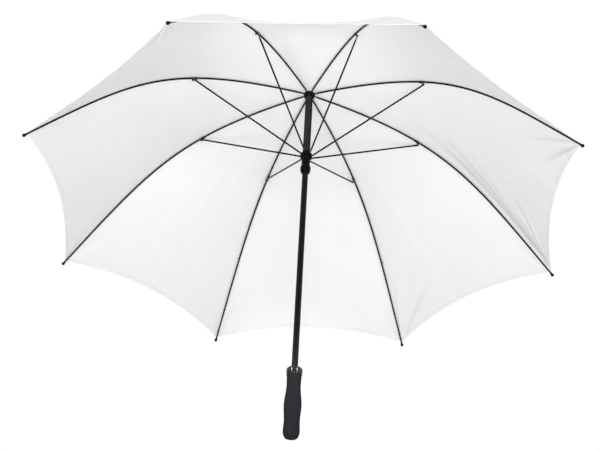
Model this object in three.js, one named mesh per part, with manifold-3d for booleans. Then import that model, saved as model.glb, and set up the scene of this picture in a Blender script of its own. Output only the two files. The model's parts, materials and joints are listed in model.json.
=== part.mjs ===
// A manual golf umbrella, open: eight glass-fibre ribs on a notch at the top of a tube shaft, eight
// stretchers on a runner that slides on the shaft, a canopy of eight cloth gores, and a foam grip.
// Millimetres. +Z runs up the shaft, and the origin is the middle of the hand's grip on its axis.
import * as THREE from "three";
import { mergeVertices } from "three/addons/utils/BufferGeometryUtils.js";
import Module from "manifold-3d";

const wasm = await Module();
wasm.setup();

const degrees = THREE.MathUtils.degToRad;

// ---- Driving dimensions ----
const RIB_COUNT = 8;
const TIP_RADIUS = 650; // shaft axis to the end of a rib's tip
const TIP_DROP = 348.7; // rib pivots down to the tips
const NOTCH_Z = 845; // height of the rib pivots
const GRIP_TOP = 81;
const GRIP_END = -80;
const FERRULE_TOP = 917;
const CLEARANCE = 0.3; // between pieces that touch on the real umbrella

// Ribs: one bend from the notch to the tip, drawn as a cubic curve in the rib's own upright plane.
const RIB_R = 1.9;
const RIB_PIVOT_RADIUS = 11.5;
const RIB_ROOT_SLOPE = degrees(3.9);
const RIB_ROOT_PULL = 357;
const RIB_TIP_SLOPE = degrees(47.2);
const RIB_TIP_PULL = 313;
const RIB_JOINT_RADIUS = 294.5; // where the stretcher holds the rib
const RIB_JOINT_GAP = 1; // each side of the bend that the two rib lengths turn about
const RIB_FLAT_HALF = 1; // half the thickness of the flattened end at the notch
const RIB_FLAT_LENGTH = 12;
const RIB_ROUND_START = 9; // from the notch's pivot, clear of the notch when the rib hangs down
const TIP_LENGTH = 11;
const TIP_SLEEVE_R = 2.7;
const TIP_BALL_R = 3.3;

// Stretchers: straight rods in planes set a little to one side of the ribs' planes.
const STRETCHER_R = 1.4;
const STRETCHER_OFFSET = 4;
const STRETCHER_EYE_R = 2.2;
const STRETCHER_EYE_HALF = 1.1;
const EAR_DROP = 5; // the stretcher's pivot below the rib's centre line
const RUNNER_PIVOT_X = 11;
const RUNNER_PIVOT_Z = NOTCH_Z - 191.4;

// Shaft, notch and runner.
const SHAFT_R = 7;
const SHAFT_WALL = 0.8;
const SHAFT_FOOT = -58;
const SHAFT_HEAD = NOTCH_Z + 24;
const BORE_R = SHAFT_R + CLEARANCE + 0.1;
const NOTCH_R = 14;
const SLOT_WIDTH = 3.2;
const WIRE_R = 0.5;
const RUNNER_R = 14;
const RUNNER_WIRE_RADIUS = Math.hypot(RUNNER_PIVOT_X, STRETCHER_OFFSET);
const SLEEVE_R = 8.75;
const NOTCH_FOOT = NOTCH_Z - 8;

// Catches: flat spring leaves that stand out of slots in the shaft. The top one holds the open runner up,
// and the bottom one, which is the same leaf turned over, holds the closed runner down.
const CATCH_AZIMUTH = degrees(110);
const CATCH_HALF = 0.6;
const CATCH_REACH = 10.4;
const CATCHES = [
  { name: "top_catch", z: RUNNER_PIVOT_Z - 56, turnedOver: false },
  { name: "bottom_catch", z: 208, turnedOver: true },
];

// Canopy: each gore spans from rib to rib, pulled in between them where the ribs bend most, and its
// hem is cut back in the middle.
const CLOTH_LIFT = 2.9; // rib centre line to the inside of the cloth
const CLOTH_THICK = 0.6;
const HEM_CUT = 30;
const HEM_RADIUS = 641.5;
const SAG_DEPTH = 17.5; // how far the cloth is pulled in midway between two ribs, at its deepest
const SAG_RADIUS = 440; // the distance from the shaft's axis where that is
const SAG_SPREAD = 150;
const CAP_FOOT = NOTCH_Z + CLOTH_LIFT + CLOTH_THICK + 0.4;
const CAP_HEIGHT = 4.2;

// Grip.
const GRIP_CORE_R = 10.5;
const COLLAR_R = 17;
const COLLAR_FOOT = 63;

const STEP = (2 * Math.PI) / RIB_COUNT;
const HALF_STEP = STEP / 2;

const black = { color: 0x17181a, roughness: 0.35, metalness: 0 };
const MATERIALS = {
  canopy: { color: 0xf3f3f3, roughness: 0.8, metalness: 0 },
  rib: { color: 0x141414, roughness: 0.3, metalness: 0 },
  steel: { color: 0x1a1a1c, roughness: 0.35, metalness: 0.6 },
  shaft: { color: 0x161618, roughness: 0.3, metalness: 0.2 },
  plastic: black,
  gloss: { color: 0x0c0c0d, roughness: 0.12, metalness: 0 },
  foam: { color: 0x3a3b40, roughness: 0.95, metalness: 0 },
};

// ---- Solids: joins and cuts ----
function toSolid(geometry) {
  const bare = geometry.index ? geometry.toNonIndexed() : geometry.clone();
  const only = new THREE.BufferGeometry();
  only.setAttribute("position", bare.getAttribute("position"));
  const merged = mergeVertices(only, 1e-3);
  return new wasm.Manifold(
    new wasm.Mesh({
      numProp: 3,
      vertProperties: new Float32Array(merged.attributes.position.array),
      triVerts: new Uint32Array(merged.index.array),
    }),
  );
}

function toGeometry(solid) {
  const mesh = solid.getMesh();
  const geometry = new THREE.BufferGeometry();
  geometry.setAttribute("position", new THREE.BufferAttribute(new Float32Array(mesh.vertProperties), 3));
  geometry.setIndex(new THREE.BufferAttribute(new Uint32Array(mesh.triVerts), 1));
  return geometry;
}

function join(...geometries) {
  return toGeometry(geometries.map(toSolid).reduce((whole, piece) => whole.add(piece)));
}

function cut(geometry, ...tools) {
  return toGeometry(tools.map(toSolid).reduce((whole, tool) => whole.subtract(tool), toSolid(geometry)));
}

// ---- Plain shapes ----
function at(geometry, x, y, z) {
  return geometry.translate(x, y, z);
}

// A box given by its two corners.
function block(x0, x1, y0, y1, z0, z1) {
  return at(new THREE.BoxGeometry(x1 - x0, y1 - y0, z1 - z0), (x0 + x1) / 2, (y0 + y1) / 2, (z0 + z1) / 2);
}

// A body of revolution about Z from a profile of [radius, height] pairs.
function turned(profile, sides) {
  const points = profile.map(([r, z]) => new THREE.Vector2(r, z));
  return new THREE.LatheGeometry(points, sides).rotateX(Math.PI / 2);
}

// A body of revolution with a hole through it: the profile closes on itself.
function ring(profile, sides) {
  return turned([...profile, profile[0]], sides);
}

// A round pin or hole along Y, centred at x, y, z.
function crossPin(x, y, z, radius, length) {
  return at(new THREE.CylinderGeometry(radius, radius, length, 10), x, y, z);
}

function wireRing(radius, z) {
  const section = [];
  for (let i = 0; i < 6; i++) {
    const turn = (i * Math.PI) / 3;
    section.push([radius + WIRE_R * Math.cos(turn), z + WIRE_R * Math.sin(turn)]);
  }
  return ring(section, 28);
}

function regularShape(radius, sides) {
  const points = [];
  for (let i = 0; i < sides; i++) {
    const turn = ((i + 0.5) * 2 * Math.PI) / sides;
    points.push(new THREE.Vector2(radius * Math.cos(turn), radius * Math.sin(turn)));
  }
  return new THREE.Shape(points);
}

// A round rod along a curve.
function rod(path, radius, steps) {
  const options = { steps, bevelEnabled: false, extrudePath: path };
  return new THREE.ExtrudeGeometry(regularShape(radius, 8), options);
}

// ---- The rib's curve ----
const ribCurve = new THREE.CubicBezierCurve(
  new THREE.Vector2(RIB_PIVOT_RADIUS, NOTCH_Z),
  new THREE.Vector2(
    RIB_PIVOT_RADIUS + RIB_ROOT_PULL * Math.cos(RIB_ROOT_SLOPE),
    NOTCH_Z - RIB_ROOT_PULL * Math.sin(RIB_ROOT_SLOPE),
  ),
  new THREE.Vector2(
    TIP_RADIUS - RIB_TIP_PULL * Math.cos(RIB_TIP_SLOPE),
    NOTCH_Z - TIP_DROP + RIB_TIP_PULL * Math.sin(RIB_TIP_SLOPE),
  ),
  new THREE.Vector2(TIP_RADIUS, NOTCH_Z - TIP_DROP),
);

// The curve parameter where the rib is at a given distance from the shaft's axis.
function ribParameter(radius) {
  let low = 0;
  let high = 1;
  for (let i = 0; i < 50; i++) {
    const middle = (low + high) / 2;
    if (ribCurve.getPoint(middle).x < radius) low = middle;
    else high = middle;
  }
  return (low + high) / 2;
}

// The piece of the rib's curve between two distances from the axis, as a path in the XZ plane.
class RibPath extends THREE.Curve {
  constructor(fromRadius, toRadius) {
    super();
    this.from = ribParameter(fromRadius);
    this.to = ribParameter(toRadius);
  }
  getPoint(share) {
    const point = ribCurve.getPoint(this.from + share * (this.to - this.from));
    return new THREE.Vector3(point.x, 0, point.y);
  }
}

const jointShare = ribParameter(RIB_JOINT_RADIUS);
const jointPoint = ribCurve.getPoint(jointShare);
const jointTangent = ribCurve.getTangent(jointShare);
const jointSlope = Math.atan2(-jointTangent.y, jointTangent.x);
const tipTangent = ribCurve.getTangent(1);
const earPivot = new THREE.Vector2(
  jointPoint.x - EAR_DROP * Math.sin(jointSlope),
  jointPoint.y - EAR_DROP * Math.cos(jointSlope),
);

// ---- The assembly ----
const umbrella = new THREE.Group();
umbrella.name = "umbrella";

function addNode(name, geometry, material, azimuth = 0) {
  const mesh = new THREE.Mesh(geometry, new THREE.MeshStandardMaterial(MATERIALS[material]));
  mesh.name = name;
  mesh.rotation.z = azimuth;
  umbrella.add(mesh);
}

// ---- Shaft and catches ----
function shaftTube() {
  const tube = ring(
    [
      [SHAFT_R - SHAFT_WALL, SHAFT_FOOT],
      [SHAFT_R, SHAFT_FOOT],
      [SHAFT_R, SHAFT_HEAD],
      [SHAFT_R - SHAFT_WALL, SHAFT_HEAD],
    ],
    28,
  );
  return cut(tube, ...CATCHES.map(catchSlot));
}

function catchSlot({ z, turnedOver }) {
  const slot = block(3, 9, -CATCH_HALF - CLEARANCE, CATCH_HALF + CLEARANCE, -15, 6);
  return at(turnedOver ? slot.rotateX(Math.PI) : slot, 0, 0, z).rotateZ(CATCH_AZIMUTH);
}

// A flat leaf with a wedge nose: its foot stays inside the tube and its nose stands out of the slot.
function catchLeaf({ z, turnedOver }) {
  const outline = new THREE.Shape();
  outline.moveTo(-4.5, -34);
  outline.lineTo(-2.5, -34);
  outline.lineTo(5.2, -13);
  outline.lineTo(CATCH_REACH, 3);
  outline.lineTo(CATCH_REACH - 0.6, 4);
  outline.lineTo(3.6, 4);
  outline.lineTo(3, -8);
  const leaf = new THREE.ExtrudeGeometry(outline, { depth: 2 * CATCH_HALF, bevelEnabled: false });
  const upright = at(leaf.rotateX(Math.PI / 2), 0, CATCH_HALF, 0);
  return at(turnedOver ? upright.rotateX(Math.PI) : upright, 0, 0, z);
}

addNode("shaft_tube", shaftTube(), "shaft");
for (const catchPlace of CATCHES) {
  addNode(catchPlace.name, catchLeaf(catchPlace), "steel", CATCH_AZIMUTH);
}

// ---- Notch, cap and ferrule ----
function slotsAround(inner, outer, offset, z0, z1) {
  const slots = [];
  for (let i = 0; i < RIB_COUNT; i++) {
    const slot = block(inner, outer, offset - SLOT_WIDTH / 2, offset + SLOT_WIDTH / 2, z0, z1);
    slots.push(slot.rotateZ(HALF_STEP + i * STEP));
  }
  return slots;
}

function notchBody() {
  const top = NOTCH_Z + 2;
  const grooveFloor = RIB_PIVOT_RADIUS - 0.9;
  const spool = ring(
    [
      [BORE_R, NOTCH_FOOT],
      [10.5, NOTCH_FOOT],
      [NOTCH_R, NOTCH_Z - 4.5],
      [NOTCH_R, NOTCH_Z - 0.9],
      [grooveFloor, NOTCH_Z - 0.9],
      [grooveFloor, NOTCH_Z + 0.9],
      [NOTCH_R, NOTCH_Z + 0.9],
      [NOTCH_R, top],
      [BORE_R, top],
    ],
    24,
  );
  return cut(spool, ...slotsAround(9, NOTCH_R + 2, 0, NOTCH_FOOT - 1, top + 1));
}

function canopyCap() {
  return ring(
    [
      [BORE_R, CAP_FOOT],
      [16, CAP_FOOT],
      [15.2, CAP_FOOT + 1.4],
      [12.5, CAP_FOOT + 3],
      [BORE_R, CAP_FOOT + CAP_HEIGHT],
    ],
    24,
  );
}

function ferrule() {
  const foot = CAP_FOOT + CAP_HEIGHT + CLEARANCE;
  return turned(
    [
      [0, SHAFT_HEAD + CLEARANCE],
      [BORE_R, SHAFT_HEAD + CLEARANCE],
      [BORE_R, foot],
      [10.5, foot],
      [10.5, foot + 3],
      [9.2, foot + 6],
      [8.6, SHAFT_HEAD + 3],
      [6.4, SHAFT_HEAD + 12],
      [4.6, FERRULE_TOP - 1.2],
      [3.8, FERRULE_TOP],
      [0, FERRULE_TOP],
    ],
    18,
  );
}

addNode("top_notch", notchBody(), "plastic");
addNode("notch_wire", wireRing(RIB_PIVOT_RADIUS, NOTCH_Z), "steel");
addNode("canopy_cap", canopyCap(), "plastic");
addNode("ferrule", ferrule(), "plastic");

// ---- Runner ----
// A long sleeve up to the notch, a slotted crown for the stretchers, a ringed neck and a flared collar.
function runnerBody() {
  const z = RUNNER_PIVOT_Z;
  const grooveFloor = RUNNER_WIRE_RADIUS - 0.9;
  const neck = [];
  for (let i = 0; i < 3; i++) {
    const step = z - 30 + i * 7;
    neck.push([9.9, step], [9.9, step + 3.5], [9.1, step + 4.2], [9.1, step + 6.3]);
  }
  const spool = ring(
    [
      [BORE_R, z - 51],
      [8.6, z - 51],
      [11, z - 46],
      [12.2, z - 39],
      [12.2, z - 34],
      [11.4, z - 32],
      ...neck,
      [10.5, z - 7],
      [RUNNER_R, z - 4.5],
      [RUNNER_R, z - 0.9],
      [grooveFloor, z - 0.9],
      [grooveFloor, z + 0.9],
      [RUNNER_R, z + 0.9],
      [RUNNER_R, z + 4.5],
      [10.5, z + 8],
      [SLEEVE_R, z + 12],
      [SLEEVE_R, NOTCH_FOOT - CLEARANCE],
      [BORE_R, NOTCH_FOOT - CLEARANCE],
    ],
    24,
  );
  const keyway = block(6, CATCH_REACH + 0.5, -1.1, 1.1, z - 60, NOTCH_Z).rotateZ(CATCH_AZIMUTH);
  return cut(spool, ...slotsAround(8.4, RUNNER_R + 2, STRETCHER_OFFSET, z - 6.5, z + 10), keyway);
}

addNode("runner_body", runnerBody(), "plastic");
addNode("runner_wire", wireRing(RUNNER_WIRE_RADIUS, RUNNER_PIVOT_Z), "steel");

// ---- Grip ----
function gripFoam() {
  const side = new THREE.SplineCurve([
    new THREE.Vector2(17.6, GRIP_END + 17),
    new THREE.Vector2(16.7, GRIP_END + 39),
    new THREE.Vector2(18.6, GRIP_END + 77),
    new THREE.Vector2(15.2, GRIP_END + 114),
    new THREE.Vector2(15.6, COLLAR_FOOT - CLEARANCE),
  ]);
  const outside = side.getPoints(11).map((point) => [point.x, point.y]);
  return turned(
    [
      [0, GRIP_END],
      [9.5, GRIP_END],
      [14, GRIP_END + 3],
      [16.6, GRIP_END + 8],
      ...outside,
      [GRIP_CORE_R + CLEARANCE, COLLAR_FOOT - CLEARANCE],
      [GRIP_CORE_R + CLEARANCE, SHAFT_FOOT - 6],
      [0, SHAFT_FOOT - 6],
    ],
    22,
  );
}

function gripCore() {
  const foot = SHAFT_FOOT - 6 + CLEARANCE;
  return turned(
    [
      [0, foot],
      [GRIP_CORE_R, foot],
      [GRIP_CORE_R, COLLAR_FOOT - CLEARANCE],
      [BORE_R, COLLAR_FOOT - CLEARANCE],
      [BORE_R, SHAFT_FOOT - CLEARANCE],
      [0, SHAFT_FOOT - CLEARANCE],
    ],
    20,
  );
}

// The glossy cup at the top of the grip, with a shallow trough that the rib tips close on.
function gripCollar() {
  return ring(
    [
      [BORE_R, COLLAR_FOOT],
      [15.8, COLLAR_FOOT],
      [16.8, COLLAR_FOOT + 2],
      [COLLAR_R, COLLAR_FOOT + 7],
      [16.4, COLLAR_FOOT + 12],
      [14.6, GRIP_TOP - 2],
      [12.6, GRIP_TOP - 1],
      [11.5, GRIP_TOP - 3],
      [10.4, GRIP_TOP],
      [BORE_R, GRIP_TOP],
    ],
    24,
  );
}

addNode("grip_foam", gripFoam(), "foam");
addNode("grip_core", gripCore(), "plastic");
addNode("grip_collar", gripCollar(), "gloss");

// ---- Ribs ----
// The inner length: a flat eye on the notch's wire, the rod, and the clip with an ear at the joint.
function innerRib() {
  const flat = block(0, RIB_FLAT_LENGTH, -RIB_FLAT_HALF, RIB_FLAT_HALF, -RIB_R, RIB_R);
  const root = at(flat.rotateY(RIB_ROOT_SLOPE), RIB_PIVOT_RADIUS, 0, NOTCH_Z);
  const eye = crossPin(RIB_PIVOT_RADIUS, 0, NOTCH_Z, RIB_R, 2 * RIB_FLAT_HALF);
  const hole = crossPin(RIB_PIVOT_RADIUS, 0, NOTCH_Z, 1, 4 * RIB_FLAT_HALF);
  const path = new RibPath(RIB_PIVOT_RADIUS + RIB_ROUND_START, RIB_JOINT_RADIUS - RIB_JOINT_GAP);
  const ear = crossPin(earPivot.x, 0, earPivot.y, STRETCHER_EYE_R, 2 * RIB_FLAT_HALF);
  const clip = join(
    block(-13, -RIB_JOINT_GAP, -2.3, 2.2, -2.6, RIB_R),
    block(-9, -RIB_JOINT_GAP, -RIB_FLAT_HALF, RIB_FLAT_HALF, -EAR_DROP - 1, 0),
  ).rotateY(jointSlope);
  return cut(join(root, eye, rod(path, RIB_R, 7), ear, at(clip, jointPoint.x, 0, jointPoint.y)), hole);
}

// The outer length runs on from the joint to just inside the tip.
function outerRib() {
  const end = TIP_RADIUS - (TIP_LENGTH - 5) * tipTangent.x;
  return rod(new RibPath(RIB_JOINT_RADIUS + RIB_JOINT_GAP, end), RIB_R, 10);
}

// The plastic tip: a sleeve over the rib's end with a ball on it.
function ribTip() {
  const tip = turned(
    [
      [0, 5.4],
      [RIB_R + 0.25, 5.4],
      [RIB_R + 0.25, 0],
      [TIP_SLEEVE_R, 0],
      [TIP_SLEEVE_R, 4.6],
      [TIP_BALL_R, 6.2],
      [TIP_BALL_R, 8.2],
      [2.3, 10.4],
      [0, TIP_LENGTH],
    ],
    12,
  );
  const leaning = tip.rotateY(Math.PI / 2 + RIB_TIP_SLOPE);
  return at(
    leaning,
    TIP_RADIUS - TIP_LENGTH * tipTangent.x,
    0,
    NOTCH_Z - TIP_DROP - TIP_LENGTH * tipTangent.y,
  );
}

// A stretcher: a rod with a flattened eye at the runner and another beside the rib's ear.
function stretcher() {
  const from = new THREE.Vector2(RUNNER_PIVOT_X, RUNNER_PIVOT_Z);
  const along = earPivot.clone().sub(from).normalize();
  const start = from.clone().addScaledVector(along, 4.5);
  const end = earPivot.clone().addScaledVector(along, -1.5);
  const line = new THREE.LineCurve3(
    new THREE.Vector3(start.x, STRETCHER_OFFSET, start.y),
    new THREE.Vector3(end.x, STRETCHER_OFFSET, end.y),
  );
  const flat = block(0, 7, -STRETCHER_EYE_HALF, STRETCHER_EYE_HALF, -1.6, 1.6);
  const lean = Math.atan2(-along.y, along.x);
  const root = at(flat.rotateY(lean), from.x, STRETCHER_OFFSET, from.y);
  const rootEye = crossPin(from.x, STRETCHER_OFFSET, from.y, STRETCHER_EYE_R, 2 * STRETCHER_EYE_HALF);
  const farEye = crossPin(earPivot.x, STRETCHER_OFFSET, earPivot.y, STRETCHER_EYE_R, 2 * STRETCHER_EYE_HALF);
  const holes = [from, earPivot].map((pivot) => crossPin(pivot.x, STRETCHER_OFFSET, pivot.y, 1.1, 5));
  return cut(join(root, rootEye, rod(line, STRETCHER_R, 1), farEye), ...holes);
}

// ---- Canopy ----
// A gore's point: across runs from -1 at one rib to 1 at the next, share is the rib curve's parameter.
// It is moved off the straight line between the two ribs along the normal of the plane midway between them.
function gorePoint(across, share, height) {
  const point = ribCurve.getPoint(share);
  const tangent = ribCurve.getTangent(share);
  const normal = new THREE.Vector2(-tangent.y, tangent.x * Math.cos(HALF_STEP)).normalize();
  const sag = SAG_DEPTH * Math.exp(-(((point.x - SAG_RADIUS) / SAG_SPREAD) ** 2));
  const lift = height - sag * (1 - across * across);
  return new THREE.Vector3(
    point.x * Math.cos(HALF_STEP) + lift * normal.x,
    across * (point.x * Math.sin(HALF_STEP) - CLEARANCE),
    point.y + lift * normal.y,
  );
}

// A thin closed shell over a grid of gore points.
function goreShell(firstShare, lastShare, columns, rows) {
  const positions = [];
  for (const lift of [CLOTH_LIFT, CLOTH_LIFT + CLOTH_THICK]) {
    for (let row = 0; row <= rows; row++) {
      for (let column = 0; column <= columns; column++) {
        const across = (2 * column) / columns - 1;
        const first = firstShare(across);
        const share = first + (row / rows) * (lastShare(across) - first);
        positions.push(...gorePoint(across, share, lift).toArray());
      }
    }
  }
  const layer = (rows + 1) * (columns + 1);
  const index = [];
  const quad = (a, b, c, d) => index.push(a, b, c, a, c, d);
  const spot = (row, column, side) => side * layer + row * (columns + 1) + column;
  for (let row = 0; row < rows; row++) {
    for (let column = 0; column < columns; column++) {
      quad(spot(row, column, 1), spot(row + 1, column, 1), spot(row + 1, column + 1, 1), spot(row, column + 1, 1));
      quad(spot(row, column, 0), spot(row, column + 1, 0), spot(row + 1, column + 1, 0), spot(row + 1, column, 0));
    }
    quad(spot(row, 0, 0), spot(row + 1, 0, 0), spot(row + 1, 0, 1), spot(row, 0, 1));
    quad(spot(row, columns, 1), spot(row + 1, columns, 1), spot(row + 1, columns, 0), spot(row, columns, 0));
  }
  for (let column = 0; column < columns; column++) {
    quad(spot(0, column, 1), spot(0, column + 1, 1), spot(0, column + 1, 0), spot(0, column, 0));
    quad(spot(rows, column, 0), spot(rows, column + 1, 0), spot(rows, column + 1, 1), spot(rows, column, 1));
  }
  const geometry = new THREE.BufferGeometry();
  geometry.setAttribute("position", new THREE.Float32BufferAttribute(positions, 3));
  geometry.setIndex(index);
  return geometry;
}

const seamShare = CLEARANCE / ribCurve.getLength();
const hemShare = ribParameter(HEM_RADIUS);
const hemCutShare = HEM_CUT / ribCurve.getLength();

function innerGore() {
  return goreShell(
    () => 0,
    () => jointShare - seamShare,
    4,
    7,
  );
}

function outerGore() {
  return goreShell(
    () => jointShare + seamShare,
    (across) => hemShare - hemCutShare * (1 - across * across),
    8,
    8,
  );
}

for (let i = 0; i < RIB_COUNT; i++) {
  const azimuth = HALF_STEP + i * STEP;
  const number = i + 1;
  addNode(`rib_inner_${number}`, innerRib(), "rib", azimuth);
  addNode(`rib_outer_${number}`, outerRib(), "rib", azimuth);
  addNode(`rib_tip_${number}`, ribTip(), "plastic", azimuth);
  addNode(`stretcher_${number}`, stretcher(), "steel", azimuth);
  addNode(`gore_inner_${number}`, innerGore(), "canopy", azimuth + HALF_STEP);
  addNode(`gore_outer_${number}`, outerGore(), "canopy", azimuth + HALF_STEP);
}

export default umbrella;
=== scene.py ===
"""The looks of a manual golf umbrella: white gored canopy, black ribs and stretchers, ringed runner,
painted shaft and foam grip. Metres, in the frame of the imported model: +Z runs up the shaft, and the
origin is the middle of the grip on its axis. Azimuths are measured from +X."""

import json
import math

import bmesh
import bpy
import numpy as np
from mathutils import Matrix, Vector


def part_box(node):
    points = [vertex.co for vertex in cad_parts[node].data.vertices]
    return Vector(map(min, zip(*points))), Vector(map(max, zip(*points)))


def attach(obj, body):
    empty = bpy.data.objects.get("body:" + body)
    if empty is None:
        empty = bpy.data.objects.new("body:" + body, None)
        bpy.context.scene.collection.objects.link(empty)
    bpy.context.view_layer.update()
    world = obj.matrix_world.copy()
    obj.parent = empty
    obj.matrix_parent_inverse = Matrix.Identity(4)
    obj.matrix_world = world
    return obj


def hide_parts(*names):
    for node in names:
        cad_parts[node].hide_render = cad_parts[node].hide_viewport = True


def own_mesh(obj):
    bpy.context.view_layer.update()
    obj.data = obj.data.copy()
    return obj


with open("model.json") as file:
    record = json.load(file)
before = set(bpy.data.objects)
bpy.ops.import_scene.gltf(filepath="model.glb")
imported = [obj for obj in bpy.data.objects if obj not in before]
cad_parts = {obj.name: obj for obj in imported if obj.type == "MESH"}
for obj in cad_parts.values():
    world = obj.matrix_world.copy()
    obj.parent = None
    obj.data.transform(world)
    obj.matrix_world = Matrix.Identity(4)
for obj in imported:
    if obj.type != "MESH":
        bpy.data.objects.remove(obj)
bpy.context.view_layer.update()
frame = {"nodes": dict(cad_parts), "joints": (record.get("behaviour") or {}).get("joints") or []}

# ---- Driving dimensions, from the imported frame
JOINTS = {joint["name"]: joint for joint in frame["joints"]}
RIB_COUNT = sum(name.startswith("rib_hinge_") for name in JOINTS)
STEP = math.tau / RIB_COUNT
HALF_STEP = STEP / 2


def joint_place(name):
    """A joint's distance from the shaft's axis and its height."""
    x, y, z = JOINTS[name]["pos_m"]
    return math.hypot(x, y), z


PIVOT_RADIUS, NOTCH_Z = joint_place("rib_hinge_1")
JOINT_RADIUS = joint_place("rib_bend_1")[0]
WIRE_RADIUS, RUNNER_Z = joint_place("stretcher_hinge_1")
FERRULE_FOOT, FERRULE_TOP = [corner.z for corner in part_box("ferrule")]
CAP_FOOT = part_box("canopy_cap")[0].z
GRIP_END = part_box("grip_foam")[0].z
COLLAR_FOOT, GRIP_TOP = [corner.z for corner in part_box("grip_collar")]
SHAFT_FOOT, SHAFT_HEAD = [corner.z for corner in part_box("shaft_tube")]
SHAFT_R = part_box("shaft_tube")[1].x
BORE_R = SHAFT_R + 0.0004

# ---- The rib's curve, as in the CAD
TIP_RADIUS = 0.65
TIP_DROP = 0.3487
ROOT_SLOPE = math.radians(3.9)
ROOT_PULL = 0.357
TIP_SLOPE = math.radians(47.2)
TIP_PULL = 0.313
RIB_R = 0.0022  # of the outer length; the inner one is a little thinner

CURVE = np.array([
    (PIVOT_RADIUS, NOTCH_Z),
    (PIVOT_RADIUS + ROOT_PULL * math.cos(ROOT_SLOPE), NOTCH_Z - ROOT_PULL * math.sin(ROOT_SLOPE)),
    (TIP_RADIUS - TIP_PULL * math.cos(TIP_SLOPE), NOTCH_Z - TIP_DROP + TIP_PULL * math.sin(TIP_SLOPE)),
    (TIP_RADIUS, NOTCH_Z - TIP_DROP),
])


def rib_point(share):
    """Radius and height on the rib's centre line; share runs from 0 at the notch to 1 at the tip."""
    t = np.asarray(share, float)[..., None]
    a, b, c, d = CURVE
    return (1 - t) ** 3 * a + 3 * (1 - t) ** 2 * t * b + 3 * (1 - t) * t**2 * c + t**3 * d


def rib_tangent(share):
    t = np.asarray(share, float)[..., None]
    a, b, c, d = CURVE
    slope = (1 - t) ** 2 * (b - a) + 2 * (1 - t) * t * (c - b) + t**2 * (d - c)
    return slope / np.linalg.norm(slope, axis=-1, keepdims=True)


def rib_share(radius):
    """The share where the rib is at a given distance from the shaft's axis."""
    shares = np.linspace(0, 1, 4001)
    return float(np.interp(radius, rib_point(shares)[:, 0], shares))


RIB_LENGTH = float(np.linalg.norm(np.diff(rib_point(np.linspace(0, 1, 2001)), axis=0), axis=1).sum())
JOINT_SHARE = rib_share(JOINT_RADIUS)

# ---- Canopy
CLOTH_LIFT = 0.0025  # rib centre line to the inside of the cloth
CLOTH_THICK = 0.0004
CLOTH_TOP = CLOTH_LIFT + CLOTH_THICK
HEM_RADIUS = 0.6415
HEM_CUT = 0.03  # how far the hem curves inwards between two tips
HEM_WIDTH = 0.009
SAG_DEPTH = 0.0175  # of the middle of a gore, deepest at the radius below
SAG_RADIUS = 0.44
SAG_SPREAD = 0.15
HEM_SHARE = rib_share(HEM_RADIUS)
# The creases that run from a tip into the cloth: degrees from the rib, depth and length in millimetres.
# The photo shows these, on one side each of five ribs. Every other corner has two faint ones.
CREASES = {
    (1, -1): [
        (7, 5, 420), (13.5, 4.5, 370), (21, 2.5, 300), (30, 4.5, 150), (35, -3.5, 135), (40, 5.5, 160),
        (47, -3, 115), (56, 2.5, 90),
    ],
    (8, 1): [(29, 3.5, 125), (42, -3, 100), (57, 5.5, 130), (65, -3, 105), (72, 4, 120)],
    (2, -1): [(14, -1.8, 180), (52, 3.0, 150), (59, -2.0, 110)],
    (6, -1): [(30, 2.4, 110), (48, -3, 110), (56, 4, 120)],
    (7, 1): [(35, 2.2, 100), (48, -2.4, 90), (56, 3.2, 100)],
}
# the fold depth that the painted shade along the creases is scaled by
DEEPEST_CREASE = 0.0055
FAINT_CREASES = [(14, 1.2, 110), (38, -1.2, 90)]


def rib_azimuth(rib):
    return HALF_STEP + (rib - 1) * STEP


def around(azimuth, x, y, z):
    """Points of an upright plane at an azimuth, in the model's frame: x outwards, y aside, z up."""
    cos, sin = math.cos(azimuth), math.sin(azimuth)
    return np.stack([x * cos - y * sin, x * sin + y * cos, z], axis=-1)


CREASE_WIDTH = 0.003
CREASE_SPREAD = 0.038  # how much wider a crease is for each metre from its tip


def corner_folds(rib, side, share, lateral):
    """How far the cloth stands off where creases run out from a tip, widening as they go."""
    back = (HEM_SHARE - share) * RIB_LENGTH + 0.004
    reach = np.hypot(back, lateral)
    turn = np.arctan2(lateral, np.maximum(back, 1e-4))
    total = np.zeros(np.shape(reach))
    for degrees, depth, length in CREASES.get((rib, side), FAINT_CREASES):
        off = (turn - math.radians(degrees)) * reach
        width = CREASE_WIDTH + CREASE_SPREAD * reach
        fade = np.exp(-((reach / (length / 1000)) ** 4)) * np.clip(reach / 0.025, 0, 1)
        total = total + depth / 1000 * fade * np.exp(-((off / width) ** 2))
    return total * np.clip(lateral / 0.004, 0, 1)


def slack(azimuth, share, edge):
    """The cloth's broad, slight unevenness, nothing at the seams."""
    x = rib_point(share)[..., 0]
    wave = np.sin(19 * x + 3 * azimuth) + 0.7 * np.sin(43 * x * edge + 5 * azimuth)
    return 0.0006 * wave * (1 - edge**2) * np.clip(x / 0.3, 0, 1)


def half_width(share):
    """From a rib to the middle line of the gore beside it."""
    return rib_point(share)[..., 0] * math.sin(HALF_STEP)


def gore_surface(middle, across, share, height):
    """Points of a gore: across runs from -1 at one rib to 1 at the next."""
    point = rib_point(share)
    tangent = rib_tangent(share)
    normal_x = -tangent[..., 1]
    normal_z = tangent[..., 0] * math.cos(HALF_STEP)
    length = np.hypot(normal_x, normal_z)
    sag = SAG_DEPTH * np.exp(-(((point[..., 0] - SAG_RADIUS) / SAG_SPREAD) ** 2))
    lift = height - sag * (1 - across**2)
    x = point[..., 0] * math.cos(HALF_STEP) + lift * normal_x / length
    y = across * half_width(share)
    return around(middle, x, y, point[..., 1] + lift * normal_z / length)


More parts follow.
